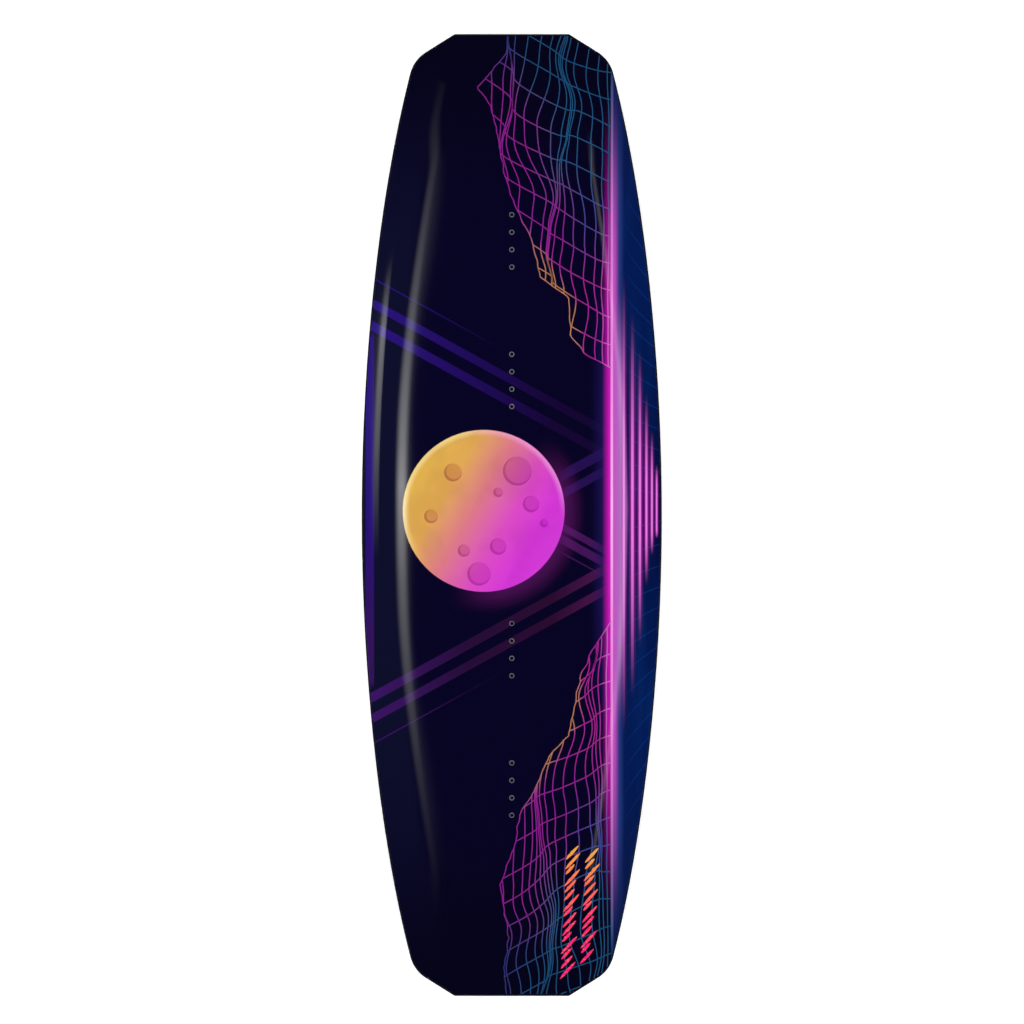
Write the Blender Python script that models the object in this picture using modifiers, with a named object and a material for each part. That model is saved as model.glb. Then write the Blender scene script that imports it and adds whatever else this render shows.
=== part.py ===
"""A wakeboard, built as the sandwich it really is: base, laminates, core, rails, deck, inserts and fins.

The deck is up, +Y points to the nose and +X to the right. The origin is under the middle of the board, on the
flat of its base. Everything is in metres.
"""

import math

import bmesh
import bpy
from mathutils import Vector

# Plan shape: a symmetric twin tip with parabolic sides, straight chamfers and straight tip edges
LENGTH = 1.400
WIDTH = 0.4382
TAPER = 0.1572  # the half width loses TAPER * y^2
TIP_PULL = 0.0868  # and TIP_PULL * y^6
SIDE_END = 0.643  # the side curve ends here and its rounded corner starts
TIP_FLAT = 0.0832  # half length of the straight tip edge
CHAMFER_RUN = 1.615  # how far a chamfer runs sideways for each metre along the board
TIP_CORNER_RADIUS = 0.006
INNER_CORNER_RADIUS = 0.008  # smallest radius of the big corner on rings far inside the edge

# Side view
TIP_RISE = 0.065
FLAT_HALF = 0.100  # the base is flat for this far on both sides of the middle

# Deck section, by inset from the plan outline
CENTRE_THICKNESS = 0.018
INNER_BREAK = 0.053
OUTER_BREAK = 0.020
INNER_BEVEL = math.tan(math.radians(6.0))
OUTER_BEVEL = math.tan(math.radians(14.0))

# The sandwich, from below to above, with a gap between neighbours
GAP = 0.0003
BASE_SHEET = 0.0012
LAMINATE = 0.0008
TOPSHEET = 0.0008
SHEET_INSET = 0.0020
CORE_INSET = 0.0100
RAIL_INNER = CORE_INSET - GAP
RAIL_SPLIT = 0.003  # the rail meets the tip block this far along the chamfer

# Binding inserts: one row of M6 inserts, four groups of four
BINDING_CENTRE = 0.298
GROUP_OFFSET = 0.1016
INSERT_PITCH = 0.0254
GROUP_SIZE = 4
PLATE_THICKNESS = 0.003
PLATE_HALF_WIDTH = 0.015
PLATE_HALF_LENGTH = 0.053
PLATE_TOP = TOPSHEET + LAMINATE + 2 * GAP  # depth below the deck
PLATE_BOTTOM = PLATE_TOP + PLATE_THICKNESS
INSERT_RADIUS = 0.00425
INSERT_DEPTH = 0.0120
INSERT_FLANGE_RADIUS = 0.0080
INSERT_FLANGE = 0.0015
INSERT_BORE = 0.0025
INSERT_BORE_DEPTH = 0.0105

# Stringers
STRINGER_X = 0.045
STRINGER_HALF_WIDTH = 0.003

# Fins
FIN_X = 0.112
FIN_Y = 0.585
FIN_HEIGHT = 0.028
FIN_CHORD = 0.060
FIN_THICKNESS = 0.007
FIN_SWEEP = 0.012
FOOT_THICKNESS = 0.0032
FOOT_HALF_WIDTH = 0.008
FOOT_HALF_LENGTH = 0.048
FOOT_CHAMFER = 0.0008
FIN_SCREW_PITCH = 0.076
FIN_INSERT_RADIUS = 0.0045
FIN_INSERT_LENGTH = 0.0100
FIN_INSERT_RECESS = 0.0003
FIN_INSERT_BORE = 0.00275
FIN_INSERT_FLOOR = 0.0015
SCREW_SHANK = 0.0024
SCREW_HEAD = 0.0046
SCREW_HEAD_DEPTH = 0.0025
SCREW_SINK = 0.0001  # the head lies this far under the foot's face
SCREW_LENGTH = 0.0110
SOCKET_RADIUS = 0.0014
SOCKET_DEPTH = 0.0015

# Mesh rows across the board: one facet is centred on the middle and one on each binding's centre
ROW_STEP = BINDING_CENTRE / 6
SIDE_ROWS = 13
STRINGER_ROWS = 10
CORNER_SEGMENTS = 4
TIP_CORNER_SEGMENTS = 2
ROUND_SEGMENTS = 10
FOIL_POINTS = 12
BLADE_SECTIONS = 6
BLADE_TIP_ANGLE = math.radians(78)
CUTTER_REACH = 0.006  # how far a pocket's cutter stands out of the board

PARTS = "wakeboard"
CUTTERS = "cutters"
INSERT_POCKETS = "insert_pockets"
FIN_POCKETS = "fin_pockets"
CORE_SLOTS = "core_slots"


# ---------------------------------------------------------------- plan and side view


def rocker(y):
    """Height of the base's underside."""
    return TIP_RISE * (max(abs(y) - FLAT_HALF, 0.0) / (LENGTH / 2 - FLAT_HALF)) ** 2


def rocker_angle(y):
    """Angle at which the base climbs towards the tip."""
    run = LENGTH / 2 - FLAT_HALF
    return math.atan(2 * TIP_RISE * max(abs(y) - FLAT_HALF, 0.0) / run**2)


def thickness(inset):
    """Thickness of the whole board at an inset from its outline."""
    inner = INNER_BEVEL * max(INNER_BREAK - inset, 0.0)
    outer = (OUTER_BEVEL - INNER_BEVEL) * max(OUTER_BREAK - inset, 0.0)
    return CENTRE_THICKNESS - inner - outer


def above_base(height):
    """A surface at a constant height above the base's underside."""
    return lambda y, inset: rocker(y) + height


def below_deck(depth):
    """A surface at a constant depth below the deck."""
    return lambda y, inset: rocker(y) + thickness(inset) - depth


def side_point(y, inset):
    """A point of the side curve, moved inwards along its normal, and that normal."""
    half_width = WIDTH / 2 - TAPER * y**2 - TIP_PULL * y**6
    normal = Vector((1.0, 2 * TAPER * y + 6 * TIP_PULL * y**5)).normalized()
    return Vector((half_width, y)) - inset * normal, normal


def arc(centre, radius, start, end, segments):
    """Points of an arc between two directions, given as vectors."""
    first = math.atan2(start.y, start.x)
    last = math.atan2(end.y, end.x)
    angles = [first + (last - first) * i / segments for i in range(segments + 1)]
    return [centre + radius * Vector((math.cos(a), math.sin(a))) for a in angles]


CHAMFER_NORMAL = Vector((1.0, CHAMFER_RUN)).normalized()
CHAMFER_ALONG = Vector((-CHAMFER_RUN, 1.0)).normalized()
TIP_CORNER = Vector((TIP_FLAT, LENGTH / 2))
TIP_NORMAL = Vector((0.0, 1.0))


def side_rows(inset):
    return [side_point((i + 0.5) * ROW_STEP, inset)[0] for i in range(SIDE_ROWS)]


def corner_arc(inset):
    """The big corner between the side curve and the chamfer."""
    start, normal = side_point(SIDE_END, 0.0)
    cosine = normal.dot(CHAMFER_NORMAL)
    radius = CHAMFER_NORMAL.dot(TIP_CORNER - start) / (1 - cosine)
    centre = start - radius * normal
    inner_radius = max(radius - inset, INNER_CORNER_RADIUS)
    centre -= (inset + inner_radius - radius) * (normal + CHAMFER_NORMAL) / (1 + cosine)
    return arc(centre, inner_radius, normal, CHAMFER_NORMAL, CORNER_SEGMENTS)


def tip_arc(inset):
    """The small corner between the chamfer and the tip edge."""
    reach = (inset + TIP_CORNER_RADIUS) / (1 + CHAMFER_NORMAL.dot(TIP_NORMAL))
    centre = TIP_CORNER - reach * (CHAMFER_NORMAL + TIP_NORMAL)
    return arc(centre, TIP_CORNER_RADIUS, CHAMFER_NORMAL, TIP_NORMAL, TIP_CORNER_SEGMENTS)


def mirrored_along(quarter):
    """A run of points from midships to the nose, continued back to the tail."""
    return [Vector((p.x, -p.y)) for p in reversed(quarter)] + quarter


def sheet_edge(inset):
    """The right-hand half of the outline, from the tail's tip edge to the nose's."""
    return mirrored_along(side_rows(inset) + corner_arc(inset) + tip_arc(inset))


def sidewall_edge(inset):
    """The stretch of the outline that the right side rail follows."""
    corner = corner_arc(inset)
    end = corner[-1] + (RAIL_SPLIT - GAP / 2) * CHAMFER_ALONG
    return mirrored_along(side_rows(inset) + corner + [end])


def tip_edge(inset):
    """The stretch of the outline that the nose's tip block follows, from right to left."""
    start = corner_arc(inset)[-1] + (RAIL_SPLIT + GAP / 2) * CHAMFER_ALONG
    right = [start] + tip_arc(inset)
    return right + [Vector((-p.x, p.y)) for p in reversed(right)]


# ---------------------------------------------------------------- scene, materials, modelling helpers


def clear_scene():
    for thing in list(bpy.data.objects):
        bpy.data.objects.remove(thing, do_unlink=True)


def new_collection(name, parent=None):
    collection = bpy.data.collections.new(name)
    (parent or bpy.context.scene.collection).children.link(collection)
    return collection


def make_material(name, colour, roughness, metallic=0.0):
    material = bpy.data.materials.new(name)
    material.use_nodes = True
    shader = material.node_tree.nodes["Principled BSDF"]
    shader.inputs["Base Color"].default_value = (*colour, 1.0)
    shader.inputs["Roughness"].default_value = roughness
    shader.inputs["Metallic"].default_value = metallic
    return material


def add_object(name, data, material=None, collection=PARTS, location=(0, 0, 0), rotation=(0, 0, 0)):
    thing = bpy.data.objects.new(name, data)
    thing.location = location
    thing.rotation_euler = rotation
    bpy.data.collections[collection].objects.link(thing)
    if material:
        data.materials.clear()
        data.materials.append(material)
    if collection != PARTS:
        thing.hide_render = True
        thing.display_type = "WIRE"
    return thing


def finish_mesh(name, mesh):
    bmesh.ops.recalc_face_normals(mesh, faces=mesh.faces)
    data = bpy.data.meshes.new(name)
    mesh.to_mesh(data)
    mesh.free()
    data.shade_smooth()
    data.set_sharp_from_angle(angle=math.radians(30))
    return data


def join_rings(mesh, rings):
    """Faces between consecutive closed rings of vertices."""
    for ring, following in zip(rings, rings[1:]):
        for i in range(len(ring)):
            j = (i + 1) % len(ring)
            mesh.faces.new((ring[i], ring[j], following[j], following[i]))


def loft(name, rings):
    """A solid through rings of points, with a flat face on each end."""
    mesh = bmesh.new()
    rings = [[mesh.verts.new(point) for point in ring] for ring in rings]
    join_rings(mesh, rings)
    mesh.faces.new(rings[0])
    mesh.faces.new(rings[-1])
    return finish_mesh(name, mesh)


def half_section(row, insets, surface, side):
    """Points of a surface across one half of the board, from its edge inwards."""
    return [(side * p.x, p.y, surface(p.y, inset)) for p, inset in zip(row, insets)]


def layer(name, top_insets, top, bottom_insets, bottom, material):
    """One sheet of the sandwich, with columns at the given insets and joined straight across the board.

    A ring runs over the top from left to right and back underneath. At each tip its two halves are paired up,
    so that the strips across the board close the sheet.
    """
    mesh = bmesh.new()
    top_rows = zip(*[sheet_edge(inset) for inset in top_insets])
    bottom_rows = zip(*[sheet_edge(inset) for inset in bottom_insets])
    rings = []
    for over, under in zip(top_rows, bottom_rows):
        ring = half_section(over, top_insets, top, -1)
        ring += reversed(half_section(over, top_insets, top, 1))
        ring += half_section(under, bottom_insets, bottom, 1)
        ring += reversed(half_section(under, bottom_insets, bottom, -1))
        rings.append([mesh.verts.new(point) for point in ring])
    join_rings(mesh, rings)
    last = 2 * len(top_insets) - 1
    for ring in (rings[0], rings[-1]):
        for i in range(-len(bottom_insets), len(top_insets) - 1):
            mesh.faces.new((ring[i], ring[i + 1], ring[last - i - 1], ring[last - i]))
    return add_object(name, finish_mesh(name, mesh), material)


def bar(name, x, half_width, rows, top, bottom):
    """A bar along the board that follows the rocker, with a rectangular section."""
    far_inside = CENTRE_THICKNESS + INNER_BREAK
    rings = []
    for y in rows:
        low, high = bottom(y, far_inside), top(y, far_inside)
        left, right = x - half_width, x + half_width
        rings.append([(left, y, low), (right, y, low), (right, y, high), (left, y, high)])
    return loft(name, rings)


def turned(name, profile, **placing):
    """A solid of revolution about its own Z axis, from a profile of (radius, height) points."""
    data = bpy.data.meshes.new(name)
    edges = [(i, i + 1) for i in range(len(profile) - 1)]
    data.from_pydata([(radius, 0.0, height) for radius, height in profile], edges, [])
    thing = add_object(name, data, **placing)
    screw = thing.modifiers.new("turn", "SCREW")
    screw.steps = ROUND_SEGMENTS
    screw.render_steps = ROUND_SEGMENTS
    screw.use_merge_vertices = True
    screw.merge_threshold = 0.00001
    return thing


def cut(thing, collection):
    boolean = thing.modifiers.new(collection, "BOOLEAN")
    boolean.operation = "DIFFERENCE"
    boolean.operand_type = "COLLECTION"
    boolean.collection = bpy.data.collections[collection]


# ---------------------------------------------------------------- the sandwich


def make_sheets(materials):
    sheet_insets = [SHEET_INSET, OUTER_BREAK, INNER_BREAK]
    core_insets = [CORE_INSET, OUTER_BREAK, INNER_BREAK]
    under_topsheet = TOPSHEET + GAP
    under_laminate = under_topsheet + LAMINATE + GAP
    over_base = BASE_SHEET + GAP
    over_laminate = over_base + LAMINATE + GAP

    base = layer(
        "base_sheet",
        [SHEET_INSET],
        above_base(BASE_SHEET),
        [SHEET_INSET],
        above_base(0.0),
        materials["base"],
    )
    bottom = layer(
        "bottom_laminate",
        [CORE_INSET],
        above_base(over_base + LAMINATE),
        [CORE_INSET],
        above_base(over_base),
        materials["glass_fibre"],
    )
    core = layer(
        "core",
        core_insets,
        below_deck(under_laminate),
        [CORE_INSET],
        above_base(over_laminate),
        materials["foam"],
    )
    top = layer(
        "top_laminate",
        core_insets,
        below_deck(under_topsheet),
        core_insets,
        below_deck(under_topsheet + LAMINATE),
        materials["glass_fibre"],
    )
    topsheet = layer(
        "topsheet",
        sheet_insets,
        below_deck(0.0),
        sheet_insets,
        below_deck(TOPSHEET),
        materials["deck"],
    )
    for sheet in (topsheet, top, core):
        cut(sheet, INSERT_POCKETS)
    for sheet in (base, bottom, core):
        cut(sheet, FIN_POCKETS)
    cut(core, CORE_SLOTS)


def make_stringers(materials):
    over_laminate = BASE_SHEET + LAMINATE + 2 * GAP
    under_laminate = TOPSHEET + LAMINATE + 2 * GAP
    rows = [(i + 0.5) * ROW_STEP for i in range(-STRINGER_ROWS, STRINGER_ROWS)]
    for name, side in (("left", -1), ("right", 1)):
        x = side * STRINGER_X
        data = bar(
            f"stringer_{name}",
            x,
            STRINGER_HALF_WIDTH,
            rows,
            below_deck(under_laminate),
            above_base(over_laminate),
        )
        add_object(f"stringer_{name}", data, materials["stringer"])
        slot_rows = [rows[0] - GAP, rows[-1] + GAP]
        slot = bar(
            f"slot_{name}",
            x,
            STRINGER_HALF_WIDTH + GAP,
            slot_rows,
            above_base(LENGTH),
            above_base(-LENGTH),
        )
        add_object(f"slot_{name}", slot, collection=CORE_SLOTS)


def rail_section():
    """The rail's section as (inset, surface) points: rabbets hold the deck sheet and the base sheet."""
    lip = SHEET_INSET - GAP
    base_rabbet = above_base(BASE_SHEET + GAP)
    deck_rabbet = below_deck(TOPSHEET + GAP)
    return [
        (RAIL_INNER, base_rabbet),
        (lip, base_rabbet),
        (lip, above_base(0.0003)),
        (0.5 * lip, above_base(0.0008)),
        (0.0, above_base(0.0030)),
        (0.0, below_deck(0.0032)),
        (0.5 * lip, below_deck(0.0010)),
        (lip, below_deck(0.0002)),
        (lip, deck_rabbet),
        (RAIL_INNER, deck_rabbet),
    ]


def rail(name, edge, mirror, material):
    """A rail that follows a stretch of the outline, mirrored by its sign in X and in Y."""
    section = rail_section()
    paths = [edge(inset) for inset, _ in section]
    rings = []
    for row in zip(*paths):
        heights = [surface(p.y, inset) for p, (inset, surface) in zip(row, section)]
        rings.append([(p.x * mirror[0], p.y * mirror[1], z) for p, z in zip(row, heights)])
    add_object(name, loft(name, rings), material)


def make_rails(materials):
    rail("sidewall_left", sidewall_edge, (-1, 1), materials["rail"])
    rail("sidewall_right", sidewall_edge, (1, 1), materials["rail"])
    rail("tip_block_nose", tip_edge, (1, 1), materials["rail"])
    rail("tip_block_tail", tip_edge, (1, -1), materials["rail"])


# ---------------------------------------------------------------- binding inserts

def insert_groups():
    """Name and centre of each group of inserts."""
    for end, sign in (("nose", 1), ("tail", -1)):
        yield f"{end}_inner", sign * (BINDING_CENTRE - GROUP_OFFSET)
        yield f"{end}_outer", sign * (BINDING_CENTRE + GROUP_OFFSET)


def barrel(radius, flange_radius, flange_top, flange_bottom, depth, top=0.0):
    """The outside of a flanged barrel, from its top edge down to its axis."""
    return [
        (radius, top),
        (radius, -flange_top),
        (flange_radius, -flange_top),
        (flange_radius, -flange_bottom),
        (radius, -flange_bottom),
        (radius, -depth),
        (0.0, -depth),
    ]


def bored(bore, bore_depth, outside):
    """An outside profile with a blind bore added at its top."""
    top = outside[0][1]
    return [(0.0, top - bore_depth), (bore, top - bore_depth), (bore, top), *outside]


def make_binding_inserts(materials):
    flange_top = PLATE_BOTTOM + GAP
    flange_bottom = flange_top + INSERT_FLANGE
    outside = barrel(INSERT_RADIUS, INSERT_FLANGE_RADIUS, flange_top, flange_bottom, INSERT_DEPTH)
    profile = bored(INSERT_BORE, INSERT_BORE_DEPTH, outside)
    pocket = [(0.0, CUTTER_REACH)] + barrel(
        INSERT_RADIUS + GAP,
        INSERT_FLANGE_RADIUS + GAP,
        flange_top - GAP / 2,
        flange_bottom + GAP,
        INSERT_DEPTH + GAP,
        CUTTER_REACH,
    )
    for group, centre in insert_groups():
        for i in range(GROUP_SIZE):
            y = centre + (i - (GROUP_SIZE - 1) / 2) * INSERT_PITCH
            place = {
                "location": (0.0, y, rocker(y) + CENTRE_THICKNESS),
                "rotation": (math.copysign(rocker_angle(y), y), 0.0, 0.0),
            }
            turned(f"binding_insert_{group}_{i + 1}", profile, material=materials["steel"], **place)
            turned(f"pocket_{group}_{i + 1}", pocket, collection=INSERT_POCKETS, **place)


def make_insert_plates(materials):
    """Glass-fibre plates let into the core's top, which the inserts' flanges pull against."""
    for group, centre in insert_groups():
        rows = [centre + PLATE_HALF_LENGTH * i / 2 for i in range(-2, 3)]
        data = bar(
            f"insert_plate_{group}",
            0.0,
            PLATE_HALF_WIDTH,
            rows,
            below_deck(PLATE_TOP),
            below_deck(PLATE_BOTTOM),
        )
        plate = add_object(f"insert_plate_{group}", data, materials["plate"])
        cut(plate, INSERT_POCKETS)
        recess_rows = [centre + (PLATE_HALF_LENGTH + GAP) * i / 2 for i in range(-2, 3)]
        recess = bar(
            f"recess_{group}",
            0.0,
            PLATE_HALF_WIDTH + GAP,
            recess_rows,
            below_deck(-CUTTER_REACH),
            below_deck(PLATE_BOTTOM + GAP),
        )
        add_object(f"recess_{group}", recess, collection=CORE_SLOTS)


# ---------------------------------------------------------------- fins

def foil(chord, width, shift, height):
    """A closed streamlined section, thickest ahead of its middle. The leading edge is at +Y."""
    ring = []
    for i in range(FOIL_POINTS):
        angle = 2 * math.pi * i / FOIL_POINTS
        ahead = math.cos(angle)
        ring.append((width / 2 * math.sin(angle) * (0.8 + 0.2 * ahead), chord / 2 * ahead + shift, height))
    return ring


def stadium(half_width, half_length, height):
    """A closed outline with straight sides and round ends."""
    ring = []
    steps = ROUND_SEGMENTS // 2
    for end in (1, -1):
        for i in range(steps + 1):
            angle = math.pi * i / steps
            x = end * half_width * math.cos(angle)
            y = end * (half_length - half_width + half_width * math.sin(angle))
            ring.append((x, y, height))
    return ring


def make_fin_mesh():
    """One fin with its foot, in its own frame: +Z out of the base and +Y towards midships."""
    foot_top = GAP + FOOT_THICKNESS
    foot = loft(
        "fin_foot",
        [
            stadium(FOOT_HALF_WIDTH, FOOT_HALF_LENGTH, GAP),
            stadium(FOOT_HALF_WIDTH, FOOT_HALF_LENGTH, foot_top - FOOT_CHAMFER),
            stadium(FOOT_HALF_WIDTH - FOOT_CHAMFER, FOOT_HALF_LENGTH - FOOT_CHAMFER, foot_top),
        ],
    )
    root = GAP + FOOT_THICKNESS / 2
    sections = []
    for i in range(BLADE_SECTIONS):
        angle = BLADE_TIP_ANGLE * i / (BLADE_SECTIONS - 1)
        up = math.sin(angle) / math.sin(BLADE_TIP_ANGLE)
        narrowing = math.cos(angle)
        chord = FIN_CHORD * narrowing**0.6
        width = FIN_THICKNESS * narrowing**0.7
        sections.append(foil(chord, width, -FIN_SWEEP * up**2, root + (FIN_HEIGHT - root) * up))
    blade = add_object("fin_blade", loft("fin_blade", sections), collection=CUTTERS)
    body = add_object("fin_body", foot, collection=CUTTERS)
    union = body.modifiers.new("blade", "BOOLEAN")
    union.operation = "UNION"
    union.object = blade

    slope = (SCREW_HEAD - SCREW_SHANK) / SCREW_HEAD_DEPTH
    reach = 0.001
    countersink = [
        (0.0, foot_top + reach),
        (SCREW_HEAD + GAP + slope * reach, foot_top + reach),
        (SCREW_SHANK + GAP, foot_top - SCREW_HEAD_DEPTH),
        (SCREW_SHANK + GAP, -reach),
        (0.0, -reach),
    ]
    for side in (-1, 1):
        hole = turned(
            f"countersink_{side}",
            countersink,
            collection=CUTTERS,
            location=(0.0, side * FIN_SCREW_PITCH / 2, 0.0),
        )
        drill = body.modifiers.new("screw hole", "BOOLEAN")
        drill.operation = "DIFFERENCE"
        drill.object = hole
    bpy.context.view_layer.update()
    evaluated = body.evaluated_get(bpy.context.evaluated_depsgraph_get())
    return bpy.data.meshes.new_from_object(evaluated)


def make_fins(materials):
    fin_mesh = make_fin_mesh()
    head_top = GAP + FOOT_THICKNESS - SCREW_SINK
    screw = [
        (0.0, head_top - SOCKET_DEPTH),
        (SOCKET_RADIUS, head_top - SOCKET_DEPTH),
        (SOCKET_RADIUS, head_top),
        (SCREW_HEAD, head_top),
        (SCREW_SHANK, head_top - SCREW_HEAD_DEPTH),
        (SCREW_SHANK, head_top - SCREW_LENGTH),
        (0.0, head_top - SCREW_LENGTH),
    ]
    depth = FIN_INSERT_RECESS + FIN_INSERT_LENGTH
    outside = [
        (FIN_INSERT_RADIUS, -FIN_INSERT_RECESS),
        (FIN_INSERT_RADIUS, -depth),
        (0.0, -depth),
    ]
    insert = bored(FIN_INSERT_BORE, FIN_INSERT_LENGTH - FIN_INSERT_FLOOR, outside)
    pocket = [
        (0.0, CUTTER_REACH),
        (FIN_INSERT_RADIUS + GAP, CUTTER_REACH),
        (FIN_INSERT_RADIUS + GAP, -depth - GAP),
        (0.0, -depth - GAP),
    ]
    for end, sign in (("nose", 1), ("tail", -1)):
        for side, x in (("left", -FIN_X), ("right", FIN_X)):
            name = f"{end}_{side}"
            fin = add_object(
                f"fin_{name}",
                fin_mesh,
                materials["fin"],
                location=(x, sign * FIN_Y, rocker(FIN_Y)),
                rotation=(math.pi + rocker_angle(FIN_Y), 0.0, 0.0 if sign > 0 else math.pi),
            )
            bpy.context.view_layer.update()
            for i, along in enumerate((-FIN_SCREW_PITCH / 2, FIN_SCREW_PITCH / 2), 1):
                spot = fin.matrix_world @ Vector((0.0, along, 0.0))
                place = {"location": spot, "rotation": fin.rotation_euler}
                turned(f"fin_screw_{name}_{i}", screw, material=materials["steel"], **place)
                turned(f"fin_insert_{name}_{i}", insert, material=materials["brass"], **place)
                turned(f"fin_pocket_{name}_{i}", pocket, collection=FIN_POCKETS, **place)


# ---------------------------------------------------------------- build


def make_materials():
    return {
        "deck": make_material("deck print", (0.006, 0.003, 0.030), 0.25),
        "base": make_material("sintered base", (0.020, 0.012, 0.060), 0.45),
        "rail": make_material("rail plastic", (0.012, 0.012, 0.014), 0.50),
        "foam": make_material("core foam", (0.80, 0.72, 0.50), 0.90),
        "stringer": make_material("stringer wood", (0.55, 0.36, 0.18), 0.70),
        "glass_fibre": make_material("glass fibre", (0.62, 0.66, 0.55), 0.40),
        "plate": make_material("insert plate", (0.45, 0.50, 0.30), 0.50),
        "steel": make_material("stainless steel", (0.60, 0.60, 0.62), 0.30, 1.0),
        "brass": make_material("brass", (0.72, 0.52, 0.20), 0.35, 1.0),
        "fin": make_material("fin plastic", (0.015, 0.015, 0.018), 0.40),
    }


def main():
    clear_scene()
    new_collection(PARTS)
    cutters = new_collection(CUTTERS)
    for name in (INSERT_POCKETS, FIN_POCKETS, CORE_SLOTS):
        new_collection(name, cutters)
    materials = make_materials()
    make_sheets(materials)
    make_stringers(materials)
    make_rails(materials)
    make_binding_inserts(materials)
    make_insert_plates(materials)
    make_fins(materials)


main()
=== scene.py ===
"""The looks of a wakeboard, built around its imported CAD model.

The deck is up, +Y points to the nose and +X to the right. Shapes are in metres. The deck's print is laid out
in millimetres on the plan of the board, from the middle of the deck.
"""

import math

import bmesh
import bpy
from mathutils import Euler, Matrix, Vector, noise
from mathutils.bvhtree import BVHTree


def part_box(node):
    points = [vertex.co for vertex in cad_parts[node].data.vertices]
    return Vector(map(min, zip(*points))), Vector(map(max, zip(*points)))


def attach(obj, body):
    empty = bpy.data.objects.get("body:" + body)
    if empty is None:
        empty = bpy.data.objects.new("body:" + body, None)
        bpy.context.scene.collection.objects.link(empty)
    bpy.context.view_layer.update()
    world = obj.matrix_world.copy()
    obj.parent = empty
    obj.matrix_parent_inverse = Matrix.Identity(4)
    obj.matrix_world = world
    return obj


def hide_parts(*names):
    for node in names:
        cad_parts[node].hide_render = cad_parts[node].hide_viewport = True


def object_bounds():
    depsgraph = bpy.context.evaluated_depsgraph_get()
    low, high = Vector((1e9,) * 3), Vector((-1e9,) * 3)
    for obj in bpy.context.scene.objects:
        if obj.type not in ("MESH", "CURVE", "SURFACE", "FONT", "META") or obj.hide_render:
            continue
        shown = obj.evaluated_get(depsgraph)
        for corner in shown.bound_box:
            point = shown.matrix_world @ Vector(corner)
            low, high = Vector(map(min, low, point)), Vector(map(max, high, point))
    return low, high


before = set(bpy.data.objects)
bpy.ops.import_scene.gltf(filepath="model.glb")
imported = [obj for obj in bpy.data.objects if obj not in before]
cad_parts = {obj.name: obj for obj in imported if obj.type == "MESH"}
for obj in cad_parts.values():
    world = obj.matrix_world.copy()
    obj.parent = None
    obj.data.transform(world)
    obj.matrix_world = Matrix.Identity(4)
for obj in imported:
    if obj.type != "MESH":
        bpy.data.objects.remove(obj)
cad_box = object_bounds()

# Plan shape and side view, as in the CAD model
LENGTH = cad_box[1].y - cad_box[0].y
WIDTH = 0.4382
TAPER = 0.1572
TIP_PULL = 0.0868
SIDE_END = 0.643
TIP_FLAT = 0.0832
CHAMFER_RUN = 1.615
TIP_CORNER_RADIUS = 0.006
INNER_CORNER_RADIUS = 0.008
TIP_RISE = 0.065
FLAT_HALF = 0.100
ROCKER_RUN = LENGTH / 2 - FLAT_HALF

# Deck section, by inset from the plan outline. The breaks are blended over this far on both sides.
CENTRE_THICKNESS = 0.018
INNER_BREAK = 0.055
INNER_BLEND = 0.013
OUTER_BREAK = 0.020
OUTER_BLEND = 0.006
INNER_BEVEL = math.tan(math.radians(6.0))
OUTER_BEVEL = math.tan(math.radians(14.0))

# Sandwich
GAP = 0.0003
BASE_SHEET = 0.0012
TOPSHEET = 0.0008
SHEET_INSET = 0.0020
RAIL_INNER = 0.0097
RAIL_SPLIT = 0.003
EDGE_BREAK = 0.0002
BASE_HOLE_RADIUS = 0.0048

# Rails: the round at the base and at the deck, where it ends on the outer face, and where that face is flat
LOW_ROUND, LOW_ROUND_END, LOW_FACE = 0.0028, 0.0030, 0.0050
HIGH_ROUND, HIGH_ROUND_END, HIGH_FACE = 0.0030, 0.0031, 0.0045

# Deck columns, by inset in mm, closer together where the bevels blend
DECK_COLUMNS = [78, 73, *range(68, 40, -3), 36, 31, *(27.5 - 2 * i for i in range(8)), 10, 6]

# Mesh density
SIDE_STEPS = 84
CORNER_STEPS = 12
CHAMFER_STEPS = 8
TIP_CORNER_STEPS = 5
AROUND = 32
THREAD_STEPS = 6
SHARP_ANGLE = math.radians(30)

MM = 0.001


# ---- plan and side view


def rocker(y):
    """Height of the base's underside."""
    return TIP_RISE * (max(abs(y) - FLAT_HALF, 0.0) / ROCKER_RUN) ** 2


def rocker_angle(y):
    """Angle at which the base climbs towards the tip."""
    return math.atan(2 * TIP_RISE * max(abs(y) - FLAT_HALF, 0.0) / ROCKER_RUN**2)


def soft_ramp(distance, blend):
    """The greater of distance and 0, rounded over the blend on both sides of 0."""
    if distance >= blend:
        return distance
    return max(distance + blend, 0.0) ** 2 / (4 * blend)


def thickness(inset):
    """Thickness of the whole board at an inset from its outline."""
    inner = INNER_BEVEL * soft_ramp(INNER_BREAK - inset, INNER_BLEND)
    outer = (OUTER_BEVEL - INNER_BEVEL) * soft_ramp(OUTER_BREAK - inset, OUTER_BLEND)
    return CENTRE_THICKNESS - inner - outer


def above_base(height):
    return lambda y, inset: rocker(y) + height


def below_deck(depth):
    return lambda y, inset: rocker(y) + thickness(inset) - depth


def side_curve(y):
    """Half the board's width, and how fast it shrinks towards the tip."""
    return WIDTH / 2 - TAPER * y**2 - TIP_PULL * y**6, 2 * TAPER * y + 6 * TIP_PULL * y**5


def side_point(y, inset):
    """A point of the side curve, moved inwards along its normal, and that normal."""
    half_width, slope = side_curve(y)
    normal = Vector((1.0, slope)).normalized()
    return Vector((half_width, y)) - inset * normal, normal


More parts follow.
